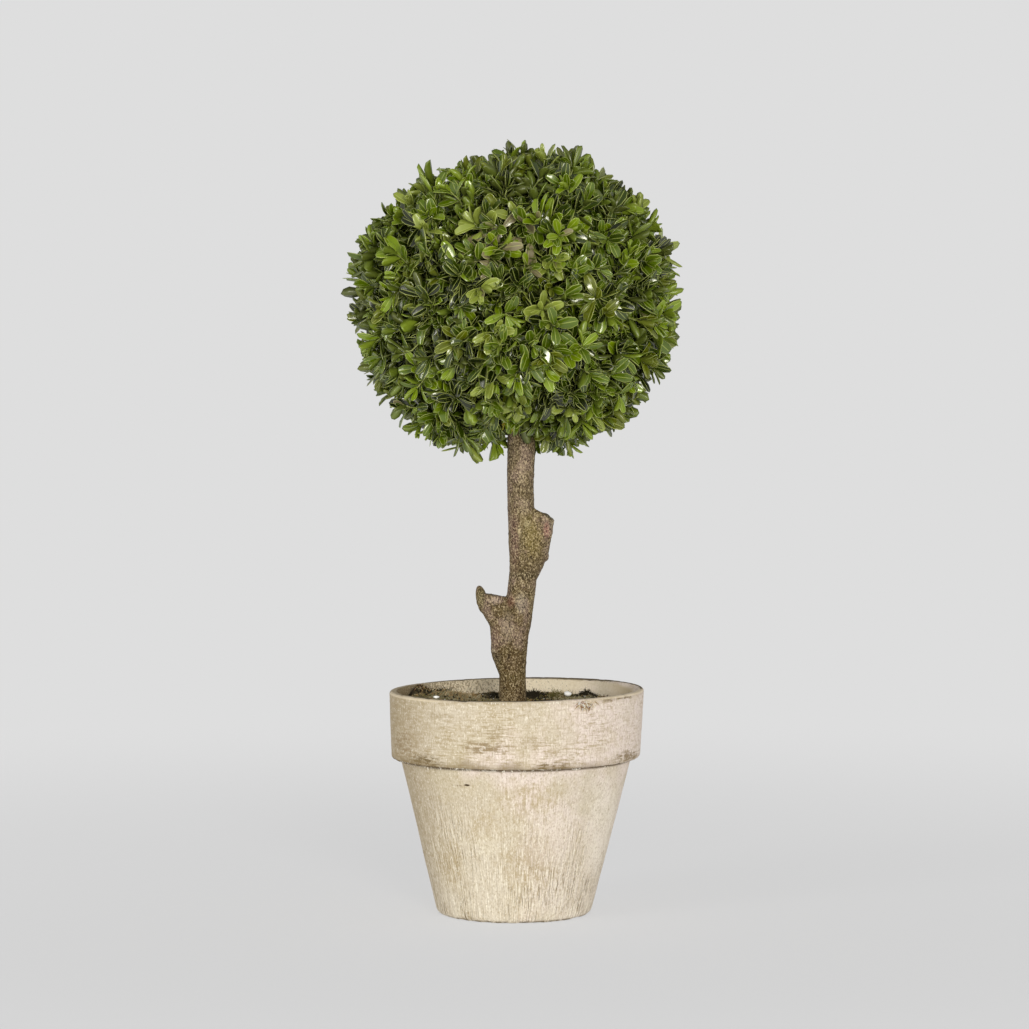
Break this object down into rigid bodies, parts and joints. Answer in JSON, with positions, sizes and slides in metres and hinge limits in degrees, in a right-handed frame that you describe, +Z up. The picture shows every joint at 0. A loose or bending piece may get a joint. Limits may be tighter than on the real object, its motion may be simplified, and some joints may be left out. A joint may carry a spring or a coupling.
{
  "type": "potted box topiary ball",
  "caption": "Clipped ball of small glossy box leaves on a bare knotted stem, standing in a whitewashed clay flowerpot.",
  "frame": {"origin": "centre of the pot's flat underside", "axes": "+Z up along the stem, +X to the right and -Y to the front, where the lower cut bough points left and the upper one right"},
  "size_m": [0.2654, 0.2642, 0.6096],
  "materials": {
    "clay": "aged clay under a worn cream whitewash, matt, streaked and speckled",
    "soil": "dark dry potting soil",
    "moss": "dry olive brown moss with a little grit",
    "bark": "fine grained speckled bark, matt",
    "foliage": "small glossy leaves, mid green with pale ribs, in several tints"
  },
  "bodies": {
    "root": {"clay_pot": "clay", "soil_fill": "soil", "moss_bed": "moss", "stem": "bark", "lower_cut_bough": "bark", "upper_cut_bough": "bark", "leaf_ball": "foliage"}
  },
  "joints": []
}
